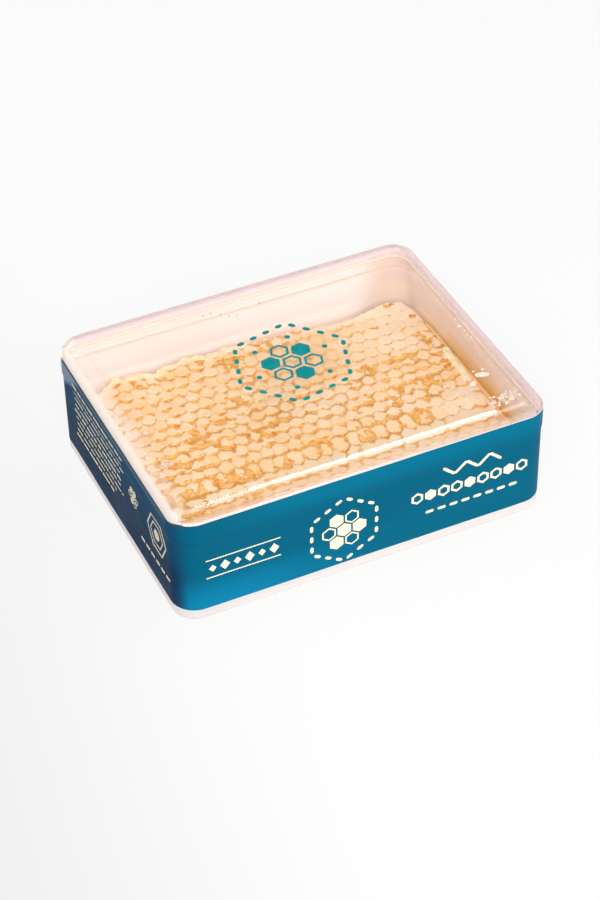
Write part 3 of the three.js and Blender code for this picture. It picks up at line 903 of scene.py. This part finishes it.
    tall = 0.15 * (2 * hashed(bi, bj, 13) - 1) + 0.20 * noise(x / 22.0, y / 18.0, 42)
    dome = 0.10 * (1 - bd / 7.3)
    tilt = 0.08 * (2 * hashed(bi, bj, 14) - 1) * (X - bx) / 2.5 + 0.08 * (2 * hashed(bi, bj, 15) - 1) * (Y - by) / 2.4
    dimple = -0.12 * np.exp(-bd / 1.2) * (hashed(bi, bj, 16) > 0.6)
    z_cap = 21.85 + tall + dome + tilt + dimple + 0.05 * fbm(x / 1.9, y / 1.9, 43, 3) - 0.05 * crease
    z_cap = z_cap - 0.35 * house * smooth(-14, -20, y)
    z_low = z_cap - 0.15 - 0.11 * A - 0.12 * wet + 0.06 * noise(x / 1.3, y / 1.3, 44)
    z = z_low + (z_cap - z_low) * h

    # Froth in the wettest parts.
    foamy = np.clip(blob(x, y, 52, -13, 12, 9) + 0.9 * blob(x, y, -38, -18, 14, 4) + 0.7 * wet, 0, 1)
    fx, fy = x / 1.05, y / 1.05
    fi, fj = np.floor(fx), np.floor(fy)
    ox, oy = 0.3 + 0.4 * hashed(fi, fj, 51), 0.3 + 0.4 * hashed(fi, fj, 52)
    rr = 0.14 + 0.16 * hashed(fi, fj, 53)
    bub = np.sqrt(np.clip(rr ** 2 - (fx - fi - ox) ** 2 - (fy - fj - oy) ** 2, 0, 1)) * 1.05
    z = z + bub * (hashed(fi, fj, 54) < 0.5 * foamy)

    # A ragged crest of thin wax along the back, and a standing strip at the right.
    back_gap = comb_back(x) - y
    crest = smooth(3.4, 0.8, back_gap) * smooth(-54, -46, x) * (1 - smooth(-6, 6, x))
    z = z + np.clip(crest * (0.3 + 0.9 * fbm(x / 2.4, y / 1.6, 63, 3)), 0, 1.2)
    strip = smooth(3.4, 2.2, comb_right(y) - x) * smooth(-8, -4, y) * (1 - smooth(11, 14, y))
    strip = strip * smooth(-0.6, 0.0, noise(x / 2.0, y / 3.0, 64) + 0.5)
    z = z + strip * (0.65 + 0.3 * noise(x / 1.5, y / 2.5, 65))
    lip = smooth(0.0, 0.9, np.minimum(comb_right(y) - x, np.minimum(x + 61.3, y + 48.0)))
    z = z - 0.5 * (1 - lip)

    back_all = smooth(4.0, 1.0, back_gap)
    cap = np.maximum(cap, np.maximum(0.85 * smooth(0.15, 0.5, crest), strip))
    crease = crease * (1 - crest) * (1 - strip)
    thin = smooth(1.9, 0.5, back_gap)
    # Along the left edge the yellow and pale are painted light, the whitening seen through the lid's milky rim; on the
    # standing strip at the right they are its own pale yellow, raised further as painted light against the right wall's
    # shade.
    yellow = np.clip(crest * thin * smooth(-0.35, 0.35, noise(x / 4.0, y / 2.5, 66)) + 0.60 * strip + 0.12 * back_all
                     + 0.35 * smooth(-50, -55, x), 0, 1)
    pale = np.clip(0.45 * smear + 0.6 * strip + 0.30 * blob(x, y, 48, 30, 22, 17) + 0.22 * noise(x / 9, y / 9, 67)
                   + 0.30 * (hashed(bi, bj, 17) - 0.4) + 0.60 * smooth(-49, -54, x) + 0.35 * (bj == -5)
                   + 0.45 * back_all + 0.20 * blob(x, y, 26, -2, 28, 18), 0, 1)
    return z, cap, yellow, pale, foamy, crease


def comb_mesh():
    nu, nv = 332, 256
    u = np.linspace(0, 1, nu)
    v = np.linspace(0, 1, nv)
    U, V = np.meshgrid(u, v)                      # rows of v, columns of u
    xl, xr0 = -61.35, 61.4
    x = xl + (xr0 - xl) * U
    yf, r = -48.05, 5.0
    dl = np.clip(r - (x - xl), 0, r)
    dr = np.clip(r - (xr0 - x), 0, r)
    front = yf + r - np.sqrt(np.maximum(r * r - np.maximum(dl, dr) ** 2, 0))
    y = front + (comb_back(x) - front) * V
    x = np.where(U > 0.5, x + (comb_right(y) - xr0) * smooth(0.9, 1.0, U), x)
    z, *finish = comb_top(x, y)
    keys = ("cap", "yellow", "pale", "froth", "crease")
    attr = {k: [a.ravel()] for k, a in zip(keys, finish)}
    verts = np.stack([x.ravel(), y.ravel(), z.ravel()], 1)
    at = lambda i, j: j * nu + i
    J, I = np.meshgrid(np.arange(nv - 1), np.arange(nu - 1), indexing="ij")
    quads = np.stack([at(I, J), at(I + 1, J), at(I + 1, J + 1), at(I, J + 1)], -1).reshape(-1, 4)
    loop = np.array([at(i, 0) for i in range(nu)] + [at(nu - 1, j) for j in range(1, nv)]
                    + [at(i, nv - 1) for i in range(nu - 2, -1, -1)] + [at(0, j) for j in range(nv - 2, 0, -1)])
    m = len(loop)
    ring_xy = verts[loop][:, :2]
    ztop = verts[loop][:, 2]
    nxt, prv = np.roll(ring_xy, -3, 0), np.roll(ring_xy, 3, 0)
    tangent = nxt - prv
    tangent /= np.maximum(np.hypot(*tangent.T)[:, None], 1e-9)
    outward = np.stack([tangent[:, 1], -tangent[:, 0]], 1)
    walk = np.concatenate([[0], np.cumsum(np.hypot(*np.diff(ring_xy, axis=0).T))])
    levels = [0.93, 0.84, 0.74, 0.63, 0.54, 0.50, 0.46, 0.37, 0.27, 0.17, 0.09, 0.04, 0.0]
    sides = []
    for f in levels:
        z_here = COMB_Z0 + (ztop - COMB_Z0) * f
        phase = walk / PITCH + (0.0 if f > 0.5 else 0.5)
        cell = np.abs(2 * (phase - np.floor(phase)) - 1)            # 0 in the middle of a cell, 1 at its walls
        groove = -0.42 * (1 - smooth(0.55, 0.95, cell)) * smooth(0.0, 0.06, abs(f - 0.5)) * smooth(0, 0.08, f)
        tuck = -1.3 * smooth(0.16, 0.0, f) ** 1.5
        wob = 0.12 * noise(walk / 1.7, f * 9 + walk * 0, 71)
        p = ring_xy + outward * (groove + tuck + wob)[:, None]
        sides.append(np.column_stack([p, z_here]))
        wall = np.maximum(smooth(0.6, 0.95, cell), smooth(0.05, 0.0, abs(f - 0.5)))
        attr["cap"].append(np.clip(0.35 + 0.4 * wall + 0.15 * noise(walk / 0.9, f * 20 + walk * 0, 72), 0, 1))
        attr["froth"].append(np.full(m, 0.3))
        for k in ("yellow", "pale", "crease"):
            attr[k].append(np.zeros(m))
    base = len(verts)
    verts = np.concatenate([verts] + sides)
    faces = quads.tolist()
    prev = loop
    for k in range(len(levels)):
        cur = base + k * m + np.arange(m)
        nx = np.roll(np.arange(m), -1)
        faces += np.stack([prev, cur, cur[nx], prev[nx]], 1).tolist()
        prev = cur
    faces.append(prev[::-1].tolist())
    return verts, faces, {k: np.concatenate(v) for k, v in attr.items()}


cv, cf, ca = comb_mesh()
comb = make("comb_slab", cv, cf, comb_mat, "beeswax", sharp=62, attrs=ca)
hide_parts("honeycomb")


# ------------------------------------------------------------------ honey at the right wall
def wall_x(z):
    """The tray's inner right wall."""
    return LENGTH / 2 - (RIM_INNER_INSET + WALL_DRAFT * np.clip((RIM_TOP - z) / (RIM_TOP - 3.3), 0, 1))


def honey_mesh():
    y = np.linspace(-40, 37, 90)
    top = 21.15 + 0.4 * fbm(y / 7.0, y * 0, 81, 3) - 3.0 * np.abs((y + 1.5) / 38.5) ** 6
    edge = 0.50 * fbm(y / 2.3, y * 0 + 4.0, 83, 3)
    verts, faces = [], []
    for k in range(len(y)):
        z = [2.6 + (top[k] - 2.6) * t for t in (0, 0.35, 0.7, 1.0)]
        prof = [(60.3, z[0]), (60.3, z[1]), (60.3, z[2]), (60.6 + edge[k], z[3] - 0.3), (61.35 + edge[k], z[3]), (wall_x(z[3]) + 0.12, z[3] + 0.35)]
        prof += [(wall_x(z[1]) + 0.12, z[1]), (wall_x(z[0]) + 0.12, z[0])]
        verts += [(px, y[k], pz) for px, pz in prof]
    n = 8
    for k in range(len(y) - 1):
        for a in range(n):
            b = (a + 1) % n
            faces.append((k * n + a, k * n + b, (k + 1) * n + b, (k + 1) * n + a))
    faces.append(tuple(range(n - 1, -1, -1)))
    faces.append(tuple((len(y) - 1) * n + a for a in range(n)))
    return np.array(verts), faces


hv, hf = honey_mesh()
honey = make("seeped_honey", hv, hf, honey_mat, "honey", sharp=50)
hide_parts("honey_pool")


def film_mesh():
    """Honey smeared up the right wall, highest near its middle."""
    ny, nz = 110, 14
    y = np.linspace(-44, 36, ny)
    top = 25.2 + 5.2 * np.exp(-((y + 9.0) / 22.0) ** 2) + 1.3 * fbm(y / 6.0, y * 0, 91, 3) + 0.8 * fbm(y / 1.7, y * 0 + 3, 92, 2)
    verts, thick = [], []
    for face in (0, 1):
        for j in range(nz):
            t = j / (nz - 1)
            z = 20.2 + (top - 20.2) * t
            rim = min(1.0, 6 * (1 - t)) * np.minimum(1, 0.3 * np.minimum(y + 44, 36 - y))
            x = wall_x(z) + 0.06 if face else wall_x(z) - 0.02 - 0.14 * np.clip(rim, 0, 1)
            verts.append(np.stack([x, y, z], 1))
            thick.append(ease(min(1.0, 1.25 * (1 - t))) * np.clip((y + 44) / 10, 0, 1) * np.clip((36 - y) / 12, 0, 1))
    verts = np.concatenate(verts)
    faces = []
    at = lambda f, j, i: (f * nz + j) * ny + i
    for j in range(nz - 1):
        for i in range(ny - 1):
            faces.append((at(0, j, i), at(0, j + 1, i), at(0, j + 1, i + 1), at(0, j, i + 1)))
            faces.append((at(1, j, i), at(1, j, i + 1), at(1, j + 1, i + 1), at(1, j + 1, i)))
    for i in range(ny - 1):
        faces.append((at(0, 0, i), at(0, 0, i + 1), at(1, 0, i + 1), at(1, 0, i)))
        faces.append((at(0, nz - 1, i), at(1, nz - 1, i), at(1, nz - 1, i + 1), at(0, nz - 1, i + 1)))
    for j in range(nz - 1):
        faces.append((at(0, j, 0), at(1, j, 0), at(1, j + 1, 0), at(0, j + 1, 0)))
        faces.append((at(0, j, ny - 1), at(0, j + 1, ny - 1), at(1, j + 1, ny - 1), at(1, j, ny - 1)))
    return verts, faces, {"thick": np.concatenate(thick)}


fv, ff, fa = film_mesh()
make("wall_honey", fv, ff, film_mat, "honey", sharp=50, attrs=fa)


# ------------------------------------------------------------------ drops
def beads(name, spots, material, slot):
    """Drops that hang from the lid or cling to the right wall: x, y, z, two radii, depth, turn in degrees, wall or not."""
    verts, faces = [], []
    seg, lev = 18, 6
    for x, y, z, ra, rb, depth, turn, on_wall in spots:
        base = len(verts)
        c, s = math.cos(math.radians(turn)), math.sin(math.radians(turn))
        for j in range(lev + 1):
            t = j / lev * math.pi / 2
            k = math.cos(t) ** 0.8 if j < lev else 0.0
            d = depth * math.sin(t)
            for i in range(seg if j < lev else 1):
                a = 2 * math.pi * i / seg
                wob = 1 + 0.07 * math.sin(2 * a + x) + 0.05 * math.sin(3 * a + y)
                p, q = ra * k * math.cos(a) * wob, rb * k * math.sin(a) * wob
                p, q = p * c - q * s, p * s + q * c
                d_here = d if j else -0.05
                if on_wall:
                    zz = z + q
                    verts.append((float(wall_x(zz)) - d_here, y + p, zz))
                else:
                    verts.append((x + p, y + q, z - d_here))
        # Seen along the outward direction the loops run clockwise on the lid and counterclockwise on the wall.
        flip = bool(on_wall)
        top = tuple(base + i for i in range(seg))
        faces.append(top[::-1] if flip else top)
        for j in range(lev):
            for i in range(seg):
                a, b = base + j * seg + i, base + j * seg + (i + 1) % seg
                if j < lev - 1:
                    f = (b, a, a + seg, b + seg)
                else:
                    f = (b, a, base + lev * seg)
                faces.append(f[::-1] if flip else f)
    return make(name, verts, faces, material, slot, sharp=60)


clear_spots = [(-56.0, -7.2, CEILING, 1.5, 1.3, 0.75, 20, 0), (-56.0, -13.4, CEILING, 1.15, 1.0, 0.6, 0, 0),
               (-56.3, -23.9, CEILING, 1.8, 1.5, 0.85, 30, 0), (0.4, 3.0, CEILING, 0.5, 0.9, 0.35, 0, 0)]
for k, (px, py) in enumerate(((-15.8, 40.2), (-10.2, 38.1), (-8.1, 36.4), (-5.7, 35.2), (-13.0, 40.6), (4.0, 38.6))):
    clear_spots.append((px, py, CEILING, 0.38 + 0.1 * (k % 2), 0.42, 0.28, 15 * k, 0))
beads("lid_drops", clear_spots, drop_mat, "lid_plastic")

# White beads: froth at the front right and up the right wall, and a few drops near the right rim made white as painted
# highlights.
white_spots = [(52.0, -28.2, CEILING, 2.3, 1.15, 0.55, -18, 0), (50.2, -25.6, CEILING, 0.5, 0.45, 0.3, 0, 0),
               (47.2, -31.0, CEILING, 1.3, 1.0, 0.5, 40, 0), (53.4, -25.9, CEILING, 0.42, 0.4, 0.3, 0, 0),
               (57.6, -2.4, CEILING, 0.55, 0.5, 0.3, 0, 0), (58.1, -5.4, CEILING, 0.3, 0.34, 0.2, 0, 0),
               (57.7, -7.6, CEILING, 0.26, 0.3, 0.2, 0, 0), (58.2, -9.4, CEILING, 0.34, 0.3, 0.2, 0, 0),
               (58.1, 1.6, CEILING, 0.24, 0.26, 0.16, 0, 0)]
for k in range(150):
    a, b, c = float(hashed(k, 1, 95)), float(hashed(k, 2, 95)), float(hashed(k, 3, 95))
    r = 0.20 + 0.32 * c * c * c
    if k % 3:
        white_spots.append((47.0 + 11.2 * a, -45.2 + 5.4 * b + 1.2 * a, CEILING, r, r * 0.85, r * 0.6, 90 * c, 0))
    else:
        white_spots.append((0, -46.0 + 17.0 * a * a + 2.0 * b, 29.0 + 8.3 * b, r, r * 0.85, r * 0.6, 90 * c, 1))
beads("froth_beads", white_spots, white_mat, "lid_plastic")


# ------------------------------------------------------------------ stage and light
def stage():
    s = 3.0
    me = bpy.data.meshes.new("floor")
    me.from_pydata([(-s, -s, 0), (s, -s, 0), (s, s, 0), (-s, s, 0)], [], [(0, 1, 2, 3)])
    m = Mat("floor")
    x, y, z = m.xyz()
    path = m.node("ShaderNodeLightPath")
    seen = path.outputs["Is Camera Ray"]
    colour = m.mix(m.span(m.noise(3.0, 2.0), 0.3, 0.7), (0.93, 0.93, 0.93, 1), (0.95, 0.95, 0.95, 1))
    diffuse = m.node("ShaderNodeBsdfDiffuse")
    m.put(diffuse.inputs["Color"], colour)
    glow = m.node("ShaderNodeEmission")
    m.put(glow.inputs["Color"], (1, 1, 1, 1))
    # The floor glows. To the camera it shows near-white, with a painted shadow darker to the left of the box; to every
    # other ray it is a lamp, dim on the left.
    shown = m.span(x, -0.20, -0.02, 0.77, 0.945)
    sideways = m.span(x, -0.16, -0.03, 0.06, 0.95)
    m.put(glow.inputs["Strength"], m.maths("ADD", m.times(seen, shown), m.times(m.maths("SUBTRACT", 1.0, seen), sideways)))
    me.materials.append(m.shader(m.blend(0.90, diffuse.outputs[0], glow.outputs[0])))
    ob = bpy.data.objects.new("floor", me)
    bpy.context.scene.collection.objects.link(ob)


def area(name, at, to, size_x, size_y, radiance, colour=(1, 1, 1), shine_only=False):
    """A rectangular softbox, with its width along X. One for shine shows in gloss and lights nothing else."""
    data = bpy.data.lights.new(name, "AREA")
    data.shape = "RECTANGLE"
    data.size, data.size_y = size_x, size_y
    data.energy = radiance * math.pi * size_x * size_y
    data.color = colour
    ob = bpy.data.objects.new(name, data)
    z = (Vector(at) - Vector(to)).normalized()
    x = (Vector((1, 0, 0)) - z * z.x).normalized()
    y = z.cross(x)
    ob.matrix_world = Matrix([[x[i], y[i], z[i], at[i]] for i in range(3)] + [[0, 0, 0, 1]])
    bpy.context.scene.collection.objects.link(ob)
    if shine_only:
        ob.visible_diffuse = False
    else:
        # The fills leave no hard-edged mirror image in the lid.
        ob.visible_glossy = False
        ob.visible_transmission = False
    return ob


stage()
area("rim_softbox", (0.325, 0.33, 0.83), (0, 0, 0.04), 0.18, 0.26, 64.0, (1.0, 0.99, 0.97), True)
area("rim_softbox_edge", (0.205, 0.33, 0.83), (0, 0, 0.04), 0.06, 0.25, 26.0, (1.0, 0.99, 0.97), True)
area("rim_softbox_end", (0.145, 0.33, 0.83), (0, 0, 0.04), 0.06, 0.24, 9.0, (1.0, 0.99, 0.97), True)
area("front_fill", (0.35, -0.95, 0.60), (0, 0, 0.03), 0.7, 0.6, 2.5, (1.0, 0.99, 0.98))
area("left_fill", (-0.38, -0.78, 0.72), (0, 0, 0.03), 0.6, 0.5, 12.0, (1.0, 0.99, 0.98))

world = bpy.data.worlds.new("studio")
bpy.context.scene.world = world
world.use_nodes = True
wt = world.node_tree
wt.nodes.clear()


def w_node(kind, **props):
    n = wt.nodes.new(kind)
    for k, v in props.items():
        setattr(n, k, v)
    return n


def w_maths(op, a, b):
    n = w_node("ShaderNodeMath", operation=op)
    for s, v in zip(n.inputs, (a, b)):
        if isinstance(v, bpy.types.NodeSocket):
            wt.links.new(v, s)
        else:
            s.default_value = v
    return n.outputs[0]


def w_span(value, a, b, lo, hi):
    n = w_node("ShaderNodeMapRange", interpolation_type="SMOOTHSTEP")
    wt.links.new(value, n.inputs["Value"])
    for key, v in (("From Min", a), ("From Max", b), ("To Min", lo), ("To Max", hi)):
        n.inputs[key].default_value = v
    return n.outputs["Result"]


w_out = w_node("ShaderNodeOutputWorld")
w_bg = w_node("ShaderNodeBackground")
w_co = w_node("ShaderNodeTexCoord")
w_sep = w_node("ShaderNodeSeparateXYZ")
wt.links.new(w_co.outputs["Generated"], w_sep.inputs[0])
w_dot = w_node("ShaderNodeVectorMath", operation="DOT_PRODUCT")
wt.links.new(w_co.outputs["Generated"], w_dot.inputs[0])
w_dot.inputs[1].default_value = (0.318, 0.693, 0.647)
# Low light from the left is dark; a flag keeps the lid's mirror direction dim.
w_side = w_span(w_sep.outputs[0], -0.75, 0.10, 0.10, 1.0)
w_high = w_span(w_sep.outputs[2], 0.15, 0.60, 0.0, 0.9)
w_flag = w_span(w_dot.outputs["Value"], 0.84, 0.96, 1.0, 0.30)
w_sky = w_maths("MULTIPLY", w_maths("MULTIPLY", w_maths("MAXIMUM", w_side, w_high), w_flag), 1.02)
w_path = w_node("ShaderNodeLightPath")
w_seen = w_path.outputs["Is Camera Ray"]
wt.links.new(w_maths("ADD", w_maths("MULTIPLY", w_sky, w_maths("SUBTRACT", 1.0, w_seen)), w_seen), w_bg.inputs["Strength"])
w_bg.inputs["Color"].default_value = (1.0, 0.995, 0.985, 1)
wt.links.new(w_bg.outputs[0], w_out.inputs["Surface"])

view = bpy.context.scene.view_settings
view.view_transform = "Standard"
view.look = "None"
view.exposure = 0.0
view.gamma = 1.0

bpy.context.scene.cycles.max_bounces = 24
bpy.context.scene.cycles.transmission_bounces = 16
bpy.context.scene.cycles.transparent_max_bounces = 24
bpy.context.scene.cycles.glossy_bounces = 8
bpy.context.scene.cycles.diffuse_bounces = 5
bpy.context.scene.cycles.sample_clamp_indirect = 4.0
bpy.context.scene.cycles.use_denoising = True
